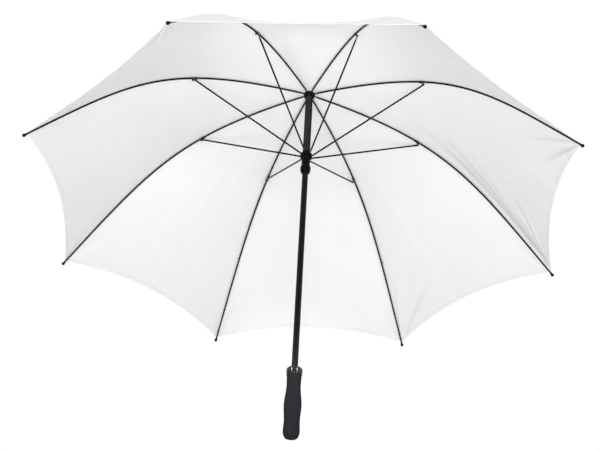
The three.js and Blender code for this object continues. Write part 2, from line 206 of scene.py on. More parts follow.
def half_gore(rib, side, away, share, height):
    """The same surface from a rib (away 0) to the middle of the gore on one side of it (away 1)."""
    middle = rib_azimuth(rib) + side * HALF_STEP
    folds = corner_folds(rib, side, share, away * half_width(share)) * (1 - away**4)
    uneven = slack(middle, share, 1 - away)
    return gore_surface(middle, -side * (1 - away), share, height + folds + uneven)


def hem_edge(away):
    """The share where the hem cuts the gore, from the rib to the middle."""
    return HEM_SHARE - HEM_CUT / RIB_LENGTH * (1 - (1 - away) ** 2)


# ---- Mesh helpers
UP = np.array([0, 0, 1.0])


def unit(vector):
    return vector / np.linalg.norm(vector)


def in_scene(name, data):
    obj = bpy.data.objects.new(name, data)
    bpy.context.scene.collection.objects.link(obj)
    return obj


# an edge that bends less than this is shaded smooth
SHARP = math.radians(38)
SOFT = math.radians(60)


def add_mesh(name, points, faces, material, sharp=SHARP):
    mesh = bpy.data.meshes.new(name)
    mesh.from_pydata([tuple(p) for p in points], [], faces)
    mesh.materials.append(material)
    work = bmesh.new()
    work.from_mesh(mesh)
    bmesh.ops.remove_doubles(work, verts=work.verts, dist=1e-7)
    bmesh.ops.recalc_face_normals(work, faces=work.faces)
    for edge in work.edges:
        edge.smooth = len(edge.link_faces) != 2 or edge.calc_face_angle(0) < sharp
    for face in work.faces:
        face.smooth = True
    work.to_mesh(mesh)
    work.free()
    return in_scene(name, mesh)


def place(obj, body, slot, *nodes):
    """Gives a piece the body it rides and hides the CAD nodes it stands for. Its slot argument is not used.
    """
    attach(obj, body)
    if nodes:
        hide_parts(*nodes)


def full_turn(count):
    """Equal angles right round, without the last that would meet the first."""
    return np.linspace(0, math.tau, count, endpoint=False)


def loops_to_mesh(loops, closed_run=False):
    """Points and faces of a skin over equal loops. Open runs get a cap at each end."""
    count = len(loops[0])
    points = np.concatenate(loops)
    faces = []
    runs = len(loops) if closed_run else len(loops) - 1
    for i in range(runs):
        a, b = i * count, (i + 1) % len(loops) * count
        for j in range(count):
            k = (j + 1) % count
            faces.append((a + j, a + k, b + k, b + j))
    if not closed_run:
        faces.append(tuple(range(count)))
        faces.append(tuple(len(points) - count + j for j in range(count)))
    return points, faces


def join_parts(parts):
    """Several (points, faces) as one."""
    points, faces, start = [], [], 0
    for part_points, part_faces in parts:
        points.append(part_points)
        faces += [tuple(start + i for i in face) for face in part_faces]
        start += len(part_points)
    return np.concatenate(points), faces


def turned(profile, sides, ring=False):
    """A body of revolution about Z from (radius, height) pairs. A ring's profile closes on itself."""
    turns = full_turn(sides)
    loops = [np.stack([r * np.cos(turns), r * np.sin(turns), np.full(sides, z)], 1) for r, z in profile]
    return loops_to_mesh(loops, closed_run=ring)


def rounded(profile, radius):
    """The profile with its corners rounded."""
    points = [np.array(p, float) for p in profile]
    out = [points[0]]
    for before, corner, after in zip(points, points[1:], points[2:]):
        a, b = before - corner, after - corner
        reach = min(radius, np.linalg.norm(a) * 0.45, np.linalg.norm(b) * 0.45)
        start, end = corner + unit(a) * reach, corner + unit(b) * reach
        for t in np.linspace(0, 1, 4):
            out.append((1 - t) ** 2 * start + 2 * (1 - t) * t * corner + t**2 * end)
    return out + [points[-1]]


def swept(line, widths, heights, aside, sides=16, power=2.0):
    """A rod along a line: widths are its half sizes along aside, heights the half sizes across it."""
    turns = full_turn(sides)
    cos, sin = np.cos(turns), np.sin(turns)
    round_cos = np.sign(cos) * np.abs(cos) ** (2 / power)
    round_sin = np.sign(sin) * np.abs(sin) ** (2 / power)
    tangents = np.gradient(line, axis=0)
    loops = []
    for point, tangent, width, height in zip(line, tangents, widths, heights):
        up = unit(np.cross(tangent, aside))
        loops.append(point + width * round_cos[:, None] * aside + height * round_sin[:, None] * up)
    return loops_to_mesh(loops)


def square_to(axis, other):
    """Two directions square to an axis and to each other, the first also square to a third line."""
    first = unit(np.cross(axis, other))
    return first, np.cross(axis, first)


def stood(body, foot, axis):
    """A body turned about Z, stood with its foot at a place and its axis in a new direction."""
    points, faces = body
    turn = Vector((0, 0, 1)).rotation_difference(Vector(axis))
    return np.array([turn @ Vector(p) for p in points]) + foot, faces


def pin(centre, aside, radius, half_length, dome=0.0):
    """A round pin along aside, with domed ends."""
    steps = [(-half_length - dome, 0.35), (-half_length - 0.7 * dome, 0.75), (-half_length, 1.0)]
    steps += [(half_length, 1.0), (half_length + 0.7 * dome, 0.75), (half_length + dome, 0.35)]
    first, second = square_to(aside, (0, 0, 1))
    turns = full_turn(20)
    circle = np.cos(turns)[:, None] * first + np.sin(turns)[:, None] * second
    return loops_to_mesh([centre + at * aside + radius * share * circle for at, share in steps])


def coil(centre, axis, radius, thread, turns, pitch):
    """A thread wound round an axis."""
    first, second = square_to(axis, (0.3, 0.5, 0.81))
    angles = np.linspace(0, math.tau * turns, int(14 * turns) + 1)
    line = centre + radius * (np.cos(angles)[:, None] * first + np.sin(angles)[:, None] * second)
    line = line + ((angles / math.tau - turns / 2) * pitch)[:, None] * axis
    section = full_turn(6)
    loops = []
    for angle, point in zip(angles, line):
        out = math.cos(angle) * first + math.sin(angle) * second
        loops.append(point + thread * (np.cos(section)[:, None] * out + np.sin(section)[:, None] * axis))
    return loops_to_mesh(loops)


def cut_away(obj, cutters):
    """Cuts (points, faces) solids out of an object's mesh."""
    tool = add_mesh("cutter", *join_parts(cutters), obj.data.materials[0])
    cutting = obj.modifiers.new("cut", "BOOLEAN")
    cutting.object = tool
    cutting.solver = "EXACT"
    cutting.use_self = True
    result = bpy.data.meshes.new_from_object(obj.evaluated_get(bpy.context.evaluated_depsgraph_get()))
    obj.modifiers.clear()
    obj.data = result
    bpy.data.objects.remove(tool)


def box_solid(azimuth, x0, x1, y0, y1, z0, z1):
    corners = [(x, y, z) for z in (z0, z1) for x, y in ((x0, y0), (x1, y0), (x1, y1), (x0, y1))]
    x, y, z = np.array(corners).T
    faces = [(0, 3, 2, 1), (4, 5, 6, 7), (0, 1, 5, 4), (1, 2, 6, 5), (2, 3, 7, 6), (3, 0, 4, 7)]
    return around(azimuth, x, y, z), faces


def shell(inside, outside):
    """A closed thin shell between two grids of points, rows by columns."""
    rows, columns = inside.shape[:2]
    points = np.concatenate([inside.reshape(-1, 3), outside.reshape(-1, 3)])
    layer = rows * columns
    faces = []
    for i in range(rows - 1):
        for j in range(columns - 1):
            a = i * columns + j
            b = a + columns
            faces.append((a, a + 1, b + 1, b))
            faces.append((layer + a, layer + b, layer + b + 1, layer + a + 1))
        for a in (i * columns, (i + 1) * columns - 1):
            faces.append((a, a + columns, layer + a + columns, layer + a))
    for i in (0, rows - 1):
        for a in range(i * columns, (i + 1) * columns - 1):
            faces.append((a, a + 1, layer + a + 1, layer + a))
    return points, faces


# ---- Materials
def new_material(name, color, roughness, **sockets):
    """A Principled material and its node tree, ready for its own texture nodes."""
    material = bpy.data.materials.new(name)
    material.use_nodes = True
    shader = material.node_tree.nodes["Principled BSDF"]
    shader.inputs["Base Color"].default_value = (*color, 1)
    shader.inputs["Roughness"].default_value = roughness
    for socket, value in sockets.items():
        shader.inputs[socket.replace("_", " ")].default_value = value
    return material, material.node_tree, shader


def node(tree, kind, **values):
    made = tree.nodes.new(kind)
    for key, value in values.items():
        if hasattr(made, key):
            setattr(made, key, value)
        else:
            made.inputs[key.replace("_", " ")].default_value = value
    return made


def feed(tree, value, socket):
    """Links a socket to another node's output, or gives it a constant."""
    if isinstance(value, bpy.types.NodeSocket):
        tree.links.new(value, socket)
    else:
        socket.default_value = value


def coordinates(tree, scale=(1, 1, 1)):
    """The object's own coordinates, stretched by a scale for each axis."""
    source = node(tree, "ShaderNodeTexCoord")
    stretch = node(tree, "ShaderNodeMapping", Scale=scale)
    feed(tree, source.outputs["Object"], stretch.inputs["Vector"])
    return stretch.outputs["Vector"]


def noise(tree, scale, detail, where=None, roughness=0.5):
    """Noise over the object's own coordinates, where no others are given."""
    texture = node(tree, "ShaderNodeTexNoise", Scale=scale, Detail=detail, Roughness=roughness)
    feed(tree, where or coordinates(tree), texture.inputs["Vector"])
    return texture.outputs["Fac"]


def ramp(tree, value, stops):
    """A colour ramp with stops of (place, colour)."""
    made = node(tree, "ShaderNodeValToRGB")
    feed(tree, value, made.inputs["Fac"])
    elements = made.color_ramp.elements
    while len(elements) < len(stops):
        elements.new(0.5)
    for element, (position, color) in zip(elements, stops):
        element.position = position
        element.color = (*color, 1)
    return made.outputs["Color"]


def grey(level):
    return (level,) * 3


def spread(tree, value, low, high):
    """A value from 0 to 1 spread between two others."""
    made = node(tree, "ShaderNodeMapRange", To_Min=low, To_Max=high)
    feed(tree, value, made.inputs["Value"])
    return made.outputs["Result"]


def bump(tree, shader, height, strength, distance, before=None):
    made = node(tree, "ShaderNodeBump", Strength=strength, Distance=distance)
    feed(tree, height, made.inputs["Height"])
    if before is not None:
        feed(tree, before, made.inputs["Normal"])
    feed(tree, made.outputs["Normal"], shader.inputs["Normal"])
    return made.outputs["Normal"]


def maths(tree, operation, first, second=0):
    made = node(tree, "ShaderNodeMath", operation=operation)
    feed(tree, first, made.inputs[0])
    feed(tree, second, made.inputs[1])
    return made.outputs["Value"]


def blend(tree, how, share, first, second):
    """Two colours blended. A mix node has its colours at sockets 6 and 7, and the result at 2."""
    made = node(tree, "ShaderNodeMix", data_type="RGBA", blend_type=how)
    feed(tree, share, made.inputs[0])
    feed(tree, first, made.inputs[6])
    feed(tree, second, made.inputs[7])
    return made.outputs[2]


def tones(tree, shader, pattern, color, darker, lighter):
    """Lets a pattern run the base colour from a darker to a lighter tone."""
    dark, light = [tuple(c * k for c in color) for k in (darker, lighter)]
    feed(tree, ramp(tree, pattern, [(0.35, dark), (0.7, light)]), shader.inputs["Base Color"])


WEAVE_PITCH = 0.0009
STITCH_PITCH = 0.0032


def weave_height(tree):
    """A plain weave from the cloth's own flat coordinates, and the places themselves."""
    flat = node(tree, "ShaderNodeAttribute", attribute_name="flat")
    split = node(tree, "ShaderNodeSeparateXYZ")
    feed(tree, flat.outputs["Vector"], split.inputs["Vector"])
    waves = []
    for axis in ("X", "Y"):
        turns = maths(tree, "MULTIPLY", split.outputs[axis], math.tau / WEAVE_PITCH)
        waves.append(maths(tree, "SINE", turns))
    return maths(tree, "MULTIPLY", waves[0], waves[1]), split


def cloth_material():
    """White polyester: plain weave and slightly uneven threads, with painted shade that darkens its colour
    along the deeper folds of the creases.
    """
    material, tree, shader = new_material(
        "canopy_cloth", (0.91, 0.91, 0.915), 0.62, Sheen_Weight=0.12, Sheen_Roughness=0.5
    )
    weave, split = weave_height(tree)
    where = coordinates(tree)
    cloud = noise(tree, 7, 4, where)
    color = ramp(tree, cloud, [(0.3, (0.885, 0.888, 0.897)), (0.7, (0.915, 0.914, 0.912))])
    # painted shade: the colour is darkened down to 0.8 where a crease is folded deepest
    crease_shade_paint = ramp(tree, split.outputs["Z"], [(0.05, grey(1.0)), (0.8, grey(0.8))])
    color_with_crease_shade = blend(tree, "MULTIPLY", 1, color, crease_shade_paint)
    feed(tree, color_with_crease_shade, shader.inputs["Base Color"])
    threads = noise(tree, 900, 2, where)
    feed(tree, spread(tree, threads, 0.55, 0.7), shader.inputs["Roughness"])
    slubs = noise(tree, 240, 2, coordinates(tree, (1, 1, 6)))
    first = bump(tree, shader, weave, 0.22, 0.00012)
    bump(tree, shader, slubs, 0.12, 0.0002, first)
    return material


def hem_material():
    """The doubled cloth of hems and seams, with its row of stitches."""
    material, tree, shader = new_material(
        "canopy_hem", (0.88, 0.88, 0.885), 0.66, Sheen_Weight=0.12, Sheen_Roughness=0.5
    )
    weave, split = weave_height(tree)
    cloud = noise(tree, 9, 3)
    stitch_turns = maths(tree, "MULTIPLY", split.outputs["Y"], math.tau / STITCH_PITCH)
    stitches = maths(tree, "GREATER_THAN", maths(tree, "SINE", stitch_turns), -0.3)
    from_row = maths(tree, "ABSOLUTE", maths(tree, "SUBTRACT", split.outputs["Z"], 1.0))
    row = maths(tree, "LESS_THAN", from_row, 0.12)
    stitch = maths(tree, "MULTIPLY", stitches, row)
    base = ramp(tree, cloud, [(0.3, (0.86, 0.863, 0.872)), (0.7, (0.895, 0.894, 0.892))])
    feed(tree, base, shader.inputs["Base Color"])
    first = bump(tree, shader, weave, 0.22, 0.00012)
    bump(tree, shader, stitch, 0.5, 0.0003, first)
    return material


def glossy_rod(name, color, low, high, streak):
    """Pultruded or painted rod: fine lengthwise streaks and a little unevenness in the gloss."""
    material, tree, shader = new_material(name, color, low, Specular_IOR_Level=0.22)
    streaks = noise(tree, 60, 4, coordinates(tree, streak))
    patches = noise(tree, 35, 3)
    mixed = maths(tree, "MULTIPLY", streaks, patches)
    feed(tree, spread(tree, mixed, low, high), shader.inputs["Roughness"])
    tones(tree, shader, streaks, color, 0.75, 1.5)
    bump(tree, shader, streaks, 0.12, 0.0001)
    return material


def painted_steel(name, color, low, high, wear=0.0):
    """Black paint on steel: orange peel, and fine worn lines where something slides on it."""
    material, tree, shader = new_material(
        name, color, low, Specular_IOR_Level=0.12, Coat_Weight=0.05, Coat_Roughness=0.12
    )
    peel = noise(tree, 420, 2)
    scratches = noise(tree, 6, 3, coordinates(tree, (90, 90, 1.5)))
    marks = ramp(tree, scratches, [(0.6, grey(0)), (0.68, grey(1))])
    feed(tree, spread(tree, peel, low, high), shader.inputs["Roughness"])
    worn = tuple(c * 3.5 for c in color)
    paint = blend(tree, "MIX", maths(tree, "MULTIPLY", marks, wear), (*color, 1), (*worn, 1))
    feed(tree, paint, shader.inputs["Base Color"])
    bump(tree, shader, peel, 0.08, 0.00015)
    return material


def moulded(name, color, low, high, grain=700, strength=0.15, shine=0.1):
    """Moulded plastic: a fine spark-eroded grain and slightly rubbed patches."""
    material, tree, shader = new_material(name, color, low, Specular_IOR_Level=shine)
    speck = noise(tree, grain, 2)
    rubbed = noise(tree, 60, 4)
    feed(tree, spread(tree, rubbed, low, high), shader.inputs["Roughness"])
    tones(tree, shader, rubbed, color, 0.8, 1.35)
    bump(tree, shader, speck, strength, 0.0002)
    return material


def foam_material():
    """Charcoal closed-cell foam: open pores of two sizes and a dry surface."""
    material, tree, shader = new_material(
        "grip_foam_charcoal", (0.014, 0.014, 0.0165), 0.92, Specular_IOR_Level=0.08
    )
    where = coordinates(tree)
    cells = node(tree, "ShaderNodeTexVoronoi", feature="F1", Scale=1100)
    feed(tree, where, cells.inputs["Vector"])
    mottle = noise(tree, 260, 4, where, 0.6)
    color = ramp(tree, mottle, [(0.3, (0.0105, 0.0108, 0.0127)), (0.72, (0.0186, 0.0192, 0.0223))])
    feed(tree, color, shader.inputs["Base Color"])
    first = bump(tree, shader, cells.outputs["Distance"], 0.35, 0.0003)
    bump(tree, shader, mottle, 0.25, 0.0005, first)
    return material


def bare_metal(name, color, low, high):
    material, tree, shader = new_material(name, color, low, Metallic=1.0)
    marks = noise(tree, 500, 3)
    feed(tree, spread(tree, marks, low, high), shader.inputs["Roughness"])
    tones(tree, shader, marks, color, 0.8, 1.15)
    bump(tree, shader, marks, 0.1, 0.0001)
    return material


def thread_material():
    """Black polyester thread: the twist of its strands."""
    material, tree, shader = new_material("black_thread", (0.012, 0.012, 0.013), 0.7)
    twist = noise(tree, 2500, 2)
    feed(tree, ramp(tree, twist, [(0.3, grey(0.008)), (0.7, grey(0.018))]), shader.inputs["Base Color"])
    bump(tree, shader, twist, 0.4, 0.0001)
    return material


CLOTH = cloth_material()
HEM = hem_material()
THREAD = thread_material()
RIB_BLACK = glossy_rod("rib_fibreglass", (0.0035, 0.0035, 0.004), 0.25, 0.5, (30, 30, 2))
STRETCHER_BLACK = painted_steel("stretcher_paint", (0.006, 0.006, 0.0065), 0.28, 0.42)
SHAFT_BLACK = painted_steel("shaft_paint", (0.003, 0.003, 0.0035), 0.22, 0.36, 0.5)
STEEL_BLACK = painted_steel("black_oxide", (0.008, 0.008, 0.0085), 0.35, 0.5)
PLASTIC = moulded("black_plastic", (0.004, 0.004, 0.0045), 0.34, 0.48)
SLEEVE_PLASTIC = moulded("sleeve_plastic", (0.004, 0.004, 0.0045), 0.3, 0.42, 500, 0.1, 0.05)
# painted highlight: the ladders are a lighter black than the sleeve, standing in for the highlights on
# their raised rungs
LADDER_PAINTED_HIGHLIGHT = moulded("rubbed_plastic", (0.05, 0.05, 0.054), 0.28, 0.45, 400, 0.1, 0.12)
GLOSS = moulded("polished_plastic", (0.003, 0.003, 0.0035), 0.05, 0.12, 300, 0.02, 0.5)
FOAM = foam_material()
RIVET = bare_metal("rivet_steel", (0.32, 0.32, 0.33), 0.25, 0.4)

# ---- Shaft
TUBE_WALL = 0.0008
CATCH_AZIMUTH = math.radians(110)
CATCH_HALF = 0.0009
CATCHES = ((RUNNER_Z - 0.056, 1), (0.208, -1))  # each one's height, and 1 if its nose points up


def shaft():
    lip = 0.0003
    # the rings along it keep the shading even round the catches' slots
    rings = [(SHAFT_R, z) for z in np.linspace(SHAFT_FOOT + 0.02, SHAFT_HEAD - 0.02, 24)]
    profile = [
        (SHAFT_R - TUBE_WALL, SHAFT_FOOT), (SHAFT_R - lip, SHAFT_FOOT), (SHAFT_R, SHAFT_FOOT + lip), *rings,
        (SHAFT_R, SHAFT_HEAD - lip), (SHAFT_R - lip, SHAFT_HEAD), (SHAFT_R - TUBE_WALL, SHAFT_HEAD),
    ]
    obj = add_mesh("shaft_painted", *turned(profile, 64, ring=True), SHAFT_BLACK)
    slots = []
    for z, up in CATCHES:
        low, high = sorted((z - up * 0.015, z + up * 0.006))
        slots.append(box_solid(CATCH_AZIMUTH, 0.003, 0.009, -CATCH_HALF, CATCH_HALF, low, high))
    cut_away(obj, slots)
    place(obj, "shaft", "shaft", "shaft_tube")


SLOT_HALF = 0.0016


def slot_boxes(inner, outer, aside, z0, z1):
    """A slot for each rib or stretcher, a little to one side of the rib's plane where asked."""
    return [
        box_solid(rib_azimuth(rib), inner, outer, aside - SLOT_HALF, aside + SLOT_HALF, z0, z1)
        for rib in range(1, RIB_COUNT + 1)
    ]


WIRE_HALF = 0.0009
CROWN_R = 0.014


def notch():
    z, groove = NOTCH_Z, PIVOT_RADIUS - WIRE_HALF
    outline = [
        (BORE_R, z - 0.008), (0.0105, z - 0.008), (0.0138, z - 0.0045), (CROWN_R, z - WIRE_HALF),
        (groove, z - WIRE_HALF), (groove, z + WIRE_HALF), (CROWN_R, z + WIRE_HALF), (CROWN_R, z + 0.002),
        (BORE_R, z + 0.002),
    ]
    obj = add_mesh("notch_crown", *turned(rounded(outline, 0.0004), 72, ring=True), PLASTIC)
    cut_away(obj, slot_boxes(0.009, 0.016, 0, z - 0.009, z + 0.003))
    place(obj, "shaft", "plastic", "top_notch")


def cap():
    z = CAP_FOOT
    outline = [
        (BORE_R, z), (0.016, z), (0.0159, z + 0.0009), (0.0146, z + 0.002), (0.012, z + 0.0032),
        (BORE_R + 0.0008, z + 0.0042), (BORE_R, z + 0.0042),
    ]
    obj = add_mesh("cap_disc", *turned(rounded(outline, 0.0005), 72, ring=True), PLASTIC)
    place(obj, "shaft", "plastic", "canopy_cap")


def ferrule():
    z, head = FERRULE_FOOT, SHAFT_HEAD
    outline = [
        (0.0005, head + 0.0003), (BORE_R, head + 0.0003), (BORE_R, z), (0.0105, z), (0.0105, z + 0.003),
        (0.01, z + 0.0036), (0.0093, z + 0.0045), (0.0091, z + 0.0075), (0.0095, z + 0.0085),
        (0.0091, z + 0.0095), (0.0086, head + 0.003), (0.0066, head + 0.012), (0.0051, head + 0.027),
        (0.0045, FERRULE_TOP - 0.002), (0.0038, FERRULE_TOP), (0.0005, FERRULE_TOP),
    ]
    obj = add_mesh("ferrule_point", *turned(rounded(outline, 0.0007), 64), PLASTIC)
    place(obj, "shaft", "plastic", "ferrule")


# ---- Runner
SLEEVE_R = 0.00875
SLEEVE_TOP = NOTCH_Z - 0.0083
RING_PITCH = 0.0042
STRETCHER_ASIDE = 0.004


def ringed(low, high, radius, depth):
    """A stretch of shallow rounded rings between two heights."""
    count = max(1, round((high - low) / RING_PITCH))
    pitch = (high - low) / count
    points = []
    for i in range(count):
        foot = low + i * pitch
        for share, drop in ((0.0, 1), (0.12, 0.15), (0.3, 0), (0.62, 0), (0.8, 0.15), (0.92, 1)):
            points.append((radius - depth * drop, foot + share * pitch))
    return points


def runner():
    z = RUNNER_Z
    groove = WIRE_RADIUS - WIRE_HALF
    collar = [
        (BORE_R, z - 0.051), (0.0086, z - 0.051), (0.0098, z - 0.0492), (0.0111, z - 0.046),
        (0.0119, z - 0.0425), (0.0122, z - 0.039), (0.0122, z - 0.035), (0.0118, z - 0.0325),
        (0.0108, z - 0.0315),
    ]
    crown = [
        (0.0104, z - 0.0072), (0.0122, z - 0.0062), (CROWN_R, z - 0.0045), (CROWN_R, z - WIRE_HALF),
        (groove, z - WIRE_HALF), (groove, z + WIRE_HALF), (CROWN_R, z + WIRE_HALF), (CROWN_R, z + 0.0045),
        (0.0122, z + 0.0062), (0.0105, z + 0.008), (SLEEVE_R, z + 0.012),
    ]
    outline = [
        *collar,
        *ringed(z - 0.0305, z - 0.0085, 0.01, 0.0008),
        *crown,
        (SLEEVE_R, z + 0.014), (SLEEVE_R, SLEEVE_TOP - 0.003), (SLEEVE_R, SLEEVE_TOP - 0.001),
        (SLEEVE_R, SLEEVE_TOP), (BORE_R, SLEEVE_TOP),
    ]
    obj = add_mesh("runner_moulding", *turned(outline, 80, ring=True), SLEEVE_PLASTIC)
    keyway = box_solid(CATCH_AZIMUTH, 0.006, 0.0109, -0.0011, 0.0011, z - 0.06, NOTCH_Z)
    slots = slot_boxes(0.0084, 0.016, STRETCHER_ASIDE, z - 0.0065, z + 0.01)
    cut_away(obj, [*slots, keyway])
    place(obj, "runner", "plastic", "runner_body")


LADDER_PITCH = 0.0052
LADDER_HALF = math.radians(24)


def sleeve_ladders():
    """Two ladders of raised ribs moulded on the sleeve, front and back, each with two rails."""
    low, high = RUNNER_Z + 0.0145, SLEEVE_TOP - 0.0015
    parts = []
    sunk = SLEEVE_R - 0.0001
    for middle in (math.radians(270), math.radians(72)):
        for azimuth in (middle - LADDER_HALF, middle + LADDER_HALF):
            line = around(azimuth, np.full(12, sunk), np.zeros(12), np.linspace(low, high, 12))
            tangent = (-math.sin(azimuth), math.cos(azimuth), 0)
            parts.append(swept(line, [0.0007] * 12, [0.0006] * 12, tangent, 10, 3))
        turns = np.linspace(middle - LADDER_HALF, middle + LADDER_HALF, 9)
        for height in np.arange(low, high, LADDER_PITCH):
            rung = np.stack([sunk * np.cos(turns), sunk * np.sin(turns), np.full(9, height)], 1)
            parts.append(swept(rung, [0.0009] * 9, [0.0005] * 9, (0, 0, 1), 10, 3))
    # the ladders take the lighter black that stands in for their highlights
    place(add_mesh("runner_ladders", *join_parts(parts), LADDER_PAINTED_HIGHLIGHT), "runner", "plastic")


# ---- Grip
CORE_R = 0.0105
CORE_GAP = 0.0003
CORE_FLOOR = SHAFT_FOOT - 0.0057


def foam_grip():
    spots = np.array([(0.0176, 0.017), (0.0167, 0.039), (0.0186, 0.077), (0.0152, 0.114), (0.0156, 0.1427)])
    heights = np.linspace(spots[0, 1], spots[-1, 1] - 0.0006, 46)
    curve = smooth_through(spots[:, 1], spots[:, 0], heights)
    foot = [
        (0.0004, 0), (0.006, 0), (0.0095, 0.0001), (0.0118, 0.0006), (0.0124, 0.0014), (0.013, 0.0014),
        (0.0137, 0.0016), (0.015, 0.0036), (0.0162, 0.0066), (0.017, 0.0096), (0.0175, 0.0132),
    ]
    outside = [(r, GRIP_END + h) for r, h in [*foot, *zip(curve, heights)]]
    top = COLLAR_FOOT - CORE_GAP
    bore, floor_height = CORE_R + CORE_GAP, CORE_FLOOR - CORE_GAP
    outline = [*outside, (0.015, top), (bore, top), (bore, floor_height), (0.0004, floor_height)]
    obj = add_mesh("grip_foam_sleeve", *turned(outline, 96), FOAM)
    place(obj, "shaft", "foam", "grip_foam")


def smooth_through(places, values, wanted):
    """Values at wanted places on a smooth curve through a few given ones (Catmull-Rom)."""
    values = np.concatenate([[2 * values[0] - values[1]], values, [2 * values[-1] - values[-2]]])
    index = np.clip(np.searchsorted(places, wanted, side="right") - 1, 0, len(places) - 2)
    t = (wanted - places[index]) / (places[index + 1] - places[index])
    a, b, c, d = (values[index + i] for i in range(4))
    return 0.5 * (2 * b + (c - a) * t + (2 * a - 5 * b + 4 * c - d) * t**2 + (3 * b - a - 3 * c + d) * t**3)


def grip_core():
    top, socket_floor = COLLAR_FOOT - CORE_GAP, SHAFT_FOOT - CORE_GAP
    outline = [
        (0.0004, CORE_FLOOR), (CORE_R, CORE_FLOOR), (CORE_R, top), (BORE_R, top),
        (BORE_R, socket_floor), (0.0004, socket_floor),
    ]
    obj = add_mesh("grip_core_tube", *turned(outline, 48), PLASTIC)
    place(obj, "shaft", "plastic", "grip_core")


def grip_collar():
    z = COLLAR_FOOT
    outline = [
        (BORE_R, z), (0.0156, z), (0.0164, z + 0.001), (0.0165, z + 0.0024), (0.0169, z + 0.004),
        (0.0174, z + 0.008), (0.0176, z + 0.0125), (0.0173, z + 0.015), (0.0163, z + 0.0166),
        (0.0147, z + 0.0172), (0.013, z + 0.0171), (0.0121, z + 0.0164), (0.0113, z + 0.0158),
        (0.0106, z + 0.0162), (0.01, z + 0.0176), (0.0093, GRIP_TOP), (BORE_R, GRIP_TOP),
    ]
    obj = add_mesh("grip_collar_cup", *turned(rounded(outline, 0.0006), 96, ring=True), GLOSS)
    place(obj, "shaft", "gloss", "grip_collar")


# ---- Ribs and stretchers
EAR_DROP = 0.005
EAR_HALF = 0.0016  # from the rib's plane to each ear
joint_tangent = rib_tangent(JOINT_SHARE)
EAR = rib_point(JOINT_SHARE) + EAR_DROP * np.array([joint_tangent[1], -joint_tangent[0]])


def upright_plane(rib):
    """The directions outwards and sideways at a rib's azimuth."""
    cos, sin = math.cos(rib_azimuth(rib)), math.sin(rib_azimuth(rib))
    return np.array([cos, sin, 0]), np.array([-sin, cos, 0])


def in_plane(rib, points, aside=0.0):
    points = np.atleast_2d(points)
    return around(rib_azimuth(rib), points[:, 0], np.full(len(points), aside), points[:, 1])


def rib_place(rib, share):
    """A place on a rib's centre line."""
    return in_plane(rib, rib_point(share))[0]


def rib_direction(rib, share):
    """The way a rib runs at a place on it, outwards."""
    outward, _ = upright_plane(rib)
    radial, upward = rib_tangent(share)
    return outward * radial + UP * upward


def rib_rod(rib, first, last, steps):
    shares = np.linspace(rib_share(first), rib_share(last), steps)
    return in_plane(rib, rib_point(shares))


def inner_rib(rib):
    _, sideways = upright_plane(rib)
    line = rib_rod(rib, PIVOT_RADIUS - 0.0012, JOINT_RADIUS - 0.001, 60)
    along = np.linalg.norm(line - line[0], axis=1)
    blend_in = np.clip((along - 0.006) / 0.006, 0, 1)
    widths = 0.001 + 0.001 * blend_in
    heights = 0.0021 - 0.0001 * blend_in
    heights[0], widths[0] = 0.001, 0.0008
    rod = swept(line, widths, heights, sideways, 16, 2.3)
    obj = add_mesh(f"rib_rod_inner_{rib}", *rod, RIB_BLACK, SOFT)
    place(obj, f"rib_in_{rib}", "rib", f"rib_inner_{rib}")


def rib_clip(rib):
    """The pressed steel clip round the rib at the joint, with a pair of ears and its rivet."""
    _, sideways = upright_plane(rib)
    shares = JOINT_SHARE + np.linspace(-0.0145, -0.001, 9) / RIB_LENGTH
    line = in_plane(rib, rib_point(shares) - np.array([0, 0.0003]))
    ends = np.array([0.86, 1, 1, 1, 1, 1, 1, 1, 0.93])
    parts = [swept(line, 0.0025 * ends, 0.0024 * ends, sideways, 20, 3.2)]
    ear_at = in_plane(rib, [EAR])[0]
    top = rib_place(rib, JOINT_SHARE - 0.0042 / RIB_LENGTH)
    for offset in (-EAR_HALF, EAR_HALF):
        path = np.array([top, (top + ear_at) / 2, ear_at, ear_at + (ear_at - top) * 0.32])
        path = path + offset * sideways
        parts.append(swept(path, [0.0004] * 4, [0.004, 0.0032, 0.0026, 0.0012], sideways, 12, 2.6))
    obj = add_mesh(f"rib_clip_{rib}", *join_parts(parts), STEEL_BLACK)
    place(obj, f"rib_in_{rib}", "steel")
    bolt = pin(ear_at + EAR_HALF * sideways, sideways, 0.0009, 0.0038)
    heads = [pin(ear_at + at * sideways, sideways, 0.0017, 0.0002, 0.0004) for at in (-0.0025, 0.0056)]
    rivet = add_mesh(f"rib_rivet_{rib}", *join_parts([bolt, *heads]), RIVET)
    place(rivet, f"rib_in_{rib}", "steel")


TIP_LENGTH = 0.011


def outer_rib(rib):
    _, sideways = upright_plane(rib)
    line = rib_rod(rib, JOINT_RADIUS + 0.001, TIP_RADIUS - 0.004, 90)
    taper = np.linspace(1.0, 0.86, 90)
    rod = swept(line, RIB_R * taper, RIB_R * taper, sideways, 16)
    obj = add_mesh(f"rib_rod_outer_{rib}", *rod, RIB_BLACK, SOFT)
    place(obj, f"rib_out_{rib}", "rib", f"rib_outer_{rib}")


def rib_tip(rib):
    """The black cap on a rib's end: a sleeve, a waist for the thread and a ball."""
    outline = [
        (0.0019, 0.0002), (0.0024, 0.0), (0.0027, 0.0004), (0.0027, 0.003), (0.0021, 0.0037),
        (0.0021, 0.0046), (0.0031, 0.0051), (0.0038, 0.0062), (0.004, 0.0076), (0.0037, 0.0092),
        (0.0028, 0.0106), (0.0014, 0.0113), (0.0003, 0.0114),
    ]
    along = rib_direction(rib, 1.0)
    foot = rib_place(rib, 1.0) - TIP_LENGTH * along
    obj = add_mesh(f"rib_cap_{rib}", *stood(turned(outline, 28), foot, along), PLASTIC)
    place(obj, f"rib_out_{rib}", "plastic", f"rib_tip_{rib}")


